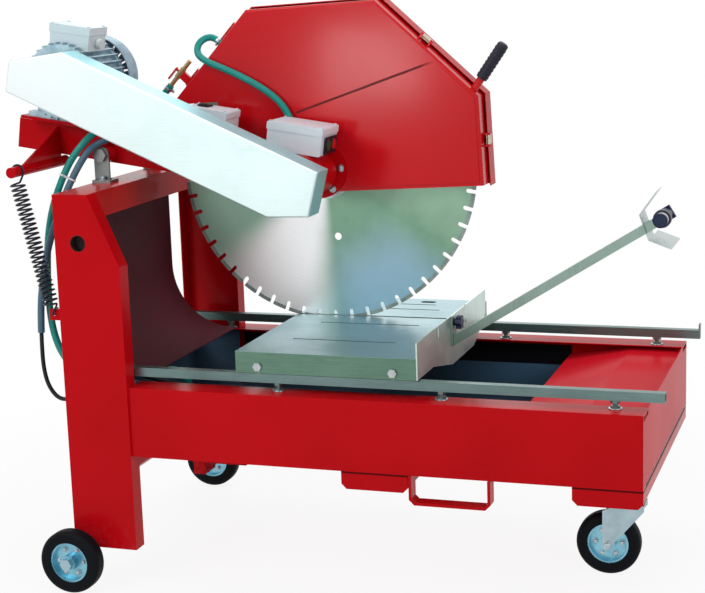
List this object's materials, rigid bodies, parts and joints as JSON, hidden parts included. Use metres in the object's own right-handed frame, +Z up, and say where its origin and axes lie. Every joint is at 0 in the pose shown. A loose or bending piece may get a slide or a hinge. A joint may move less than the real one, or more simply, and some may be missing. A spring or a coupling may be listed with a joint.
{
  "type": "stone cutting machine",
  "caption": "Wheeled block saw with a tilting blade arm under a hood, belt-driven by a motor, above a water trough with a sliding roller table and a laser guide bar.",
  "frame": {"origin": "centre of the bounding box on the floor under the wheels", "axes": "+X along the trough towards the caster end, +Y from the belt side to the blade side, +Z up"},
  "size_m": [1.9218, 1.078, 1.6079],
  "materials": {
    "red_paint": "gloss red paint",
    "dark_floor": "dark coated tray",
    "stainless": "brushed stainless",
    "blade_steel": "ground steel disc",
    "segment_metal": "sintered segments",
    "flange_steel": "turned steel",
    "guard_silver": "pale silver paint",
    "motor_silver": "cast silver-grey",
    "cowl_grey": "grey fan cowl",
    "belt_rubber": "black rubber",
    "tyre_black": "black rubber tyre",
    "zinc": "zinc plated",
    "spring_black": "black wire",
    "shield_rubber": "dark sheet",
    "grip_black": "ribbed rubber",
    "box_grey": "light grey plastic",
    "button_green": "green cap",
    "button_red": "red cap",
    "valve_brass": "plated brass",
    "lever_red": "coated lever",
    "pump_black": "moulded plastic",
    "laser_black": "black housing",
    "knob_black": "moulded star knob",
    "hose_teal": "teal hose",
    "conduit_blue": "grey-blue conduit",
    "cable_black": "black cable"
  },
  "bodies": {
    "frame": {"near_post": "red_paint", "far_post": "red_paint", "cross_beam": "red_paint", "trough_near_side": "red_paint", "trough_far_side": "red_paint", "trough_end": "red_paint", "trough_floor": "dark_floor", "mid_channel": "red_paint", "caster_channel": "red_paint", "fork_straps": "red_paint", "near_rail": "stainless", "far_rail": "stainless", "rail_feet": "stainless", "splash_shield": "shield_rubber", "pivot_brackets": "stainless", "pivot_pin": "stainless", "axle_beam": "red_paint", "water_pump": "pump_black", "pump_cable": "cable_black", "counter_spring": "spring_black", "water_hose": "hose_teal", "cable_conduit": "conduit_blue"},
    "near_wheel": {"near_tyre": "tyre_black", "near_rim": "zinc"},
    "far_wheel": {"far_tyre": "tyre_black", "far_rim": "zinc"},
    "caster": {"caster_fork": "red_paint"},
    "caster_wheel": {"caster_tyre": "tyre_black", "caster_rim": "zinc"},
    "arm": {"arm_beam": "red_paint", "motor_plate": "red_paint", "motor_body": "motor_silver", "motor_cowl": "cowl_grey", "belt_guard": "guard_silver", "v_belts": "belt_rubber", "spindle_housing": "red_paint", "hood_near": "red_paint", "handle_grip": "grip_black", "water_valve": "valve_brass", "switch_box": "box_grey", "plug_box": "box_grey", "spray_hose": "hose_teal"},
    "blade": {"spindle": "flange_steel", "blade_flanges": "flange_steel", "saw_blade": "blade_steel", "blade_segments": "segment_metal"},
    "rotor": {"motor_shaft": "flange_steel"},
    "hood_door": {"hood_cover": "red_paint"},
    "upper_latch": {"latch_upper": "stainless"},
    "lower_latch": {"latch_lower": "stainless"},
    "valve_lever": {"valve_handle": "lever_red"},
    "start_push": {"start_button": "button_green"},
    "stop_push": {"stop_button": "button_red"},
    "table": {"table_top": "stainless", "table_fence": "stainless"},
    "left_roller": {"roller_axle_left": "stainless"},
    "right_roller": {"roller_axle_right": "stainless"},
    "laser_arm": {"laser_bar": "stainless"},
    "laser_head": {"laser_unit": "laser_black"},
    "knob": {"clamp_knob": "knob_black"}
  },
  "joints": [
    {"name": "near_wheel_spin", "type": "hinge", "parent": "frame", "child": "near_wheel", "pos_m": [-0.66409, -0.497, 0.09], "axis": [0, 1, 0], "continuous": true},
    {"name": "far_wheel_spin", "type": "hinge", "parent": "frame", "child": "far_wheel", "pos_m": [-0.66409, 0.497, 0.09], "axis": [0, 1, 0], "continuous": true},
    {"name": "caster_swivel", "type": "hinge", "parent": "frame", "child": "caster", "pos_m": [0.82391, 0, 0.2], "axis": [0, 0, 1], "continuous": true},
    {"name": "caster_wheel_spin", "type": "hinge", "parent": "caster", "child": "caster_wheel", "pos_m": [0.75591, 0, 0.09], "axis": [0, 1, 0], "continuous": true},
    {"name": "arm_pivot", "type": "hinge", "parent": "frame", "child": "arm", "pos_m": [-0.66609, 0, 1.18996], "axis": [0, -1, 0], "range_deg": [0, 25], "deforming": ["counter_spring", "water_hose", "cable_conduit"]},
    {"name": "blade_spin", "type": "hinge", "parent": "arm", "child": "blade", "pos_m": [-0.08609, 0.116, 1.122], "axis": [0, 1, 0], "continuous": true},
    {"name": "motor_spin", "type": "hinge", "parent": "arm", "child": "rotor", "pos_m": [-0.77609, 0, 1.40117], "axis": [0, 1, 0], "continuous": true},
    {"name": "hood_door_hinge", "type": "hinge", "parent": "arm", "child": "hood_door", "pos_m": [-0.45452, 0.115, 1.43258], "axis": [0.6759, 0, 0.737], "range_deg": [0, 100]},
    {"name": "upper_latch_hinge", "type": "hinge", "parent": "arm", "child": "upper_latch", "pos_m": [0.23178, 0.093, 1.49071], "axis": [0.7396, 0, -0.673], "range_deg": [0, 120]},
    {"name": "lower_latch_hinge", "type": "hinge", "parent": "arm", "child": "lower_latch", "pos_m": [0.40544, 0.093, 1.20725], "axis": [0.0471, 0, -0.9989], "range_deg": [0, 120]},
    {"name": "valve_turn", "type": "hinge", "parent": "arm", "child": "valve_lever", "pos_m": [-0.52191, 0.087, 1.40348], "axis": [-0.737, 0, 0.6759], "range_deg": [0, 90]},
    {"name": "start_press", "type": "slide", "parent": "arm", "child": "start_push", "axis": [-0.9892, 0, 0.1466], "range_m": [0, 0.0035], "stiffness_N_per_m": 400},
    {"name": "stop_press", "type": "slide", "parent": "arm", "child": "stop_push", "axis": [-0.9892, 0, 0.1466], "range_m": [0, 0.0035], "stiffness_N_per_m": 400},
    {"name": "table_slide", "type": "slide", "parent": "frame", "child": "table", "axis": [1, 0, 0], "range_m": [-0.27, 0.6]},
    {"name": "left_roller_spin", "type": "hinge", "parent": "table", "child": "left_roller", "pos_m": [-0.12609, 0, 0.645], "axis": [0, 1, 0], "continuous": true},
    {"name": "right_roller_spin", "type": "hinge", "parent": "table", "child": "right_roller", "pos_m": [0.25391, 0, 0.645], "axis": [0, 1, 0], "continuous": true},
    {"name": "laser_arm_swing", "type": "hinge", "parent": "table", "child": "laser_arm", "pos_m": [0.32241, -0.027, 0.709], "axis": [1, 0, 0], "range_deg": [-25, 25]},
    {"name": "laser_tilt", "type": "hinge", "parent": "laser_arm", "child": "laser_head", "pos_m": [0.90382, 0, 1.01097], "axis": [0, 1, 0], "range_deg": [-20, 20]},
    {"name": "knob_turn", "type": "hinge", "parent": "table", "child": "knob", "pos_m": [0.32241, -0.027, 0.709], "axis": [1, 0, 0], "continuous": true}
  ],
  "couplings": [
    {"joint": "motor_spin", "follows": "blade_spin", "ratio": 1.3478},
    {"joint": "left_roller_spin", "follows": "table_slide", "rad_per_m": 50.761},
    {"joint": "right_roller_spin", "follows": "table_slide", "rad_per_m": 50.761}
  ]
}
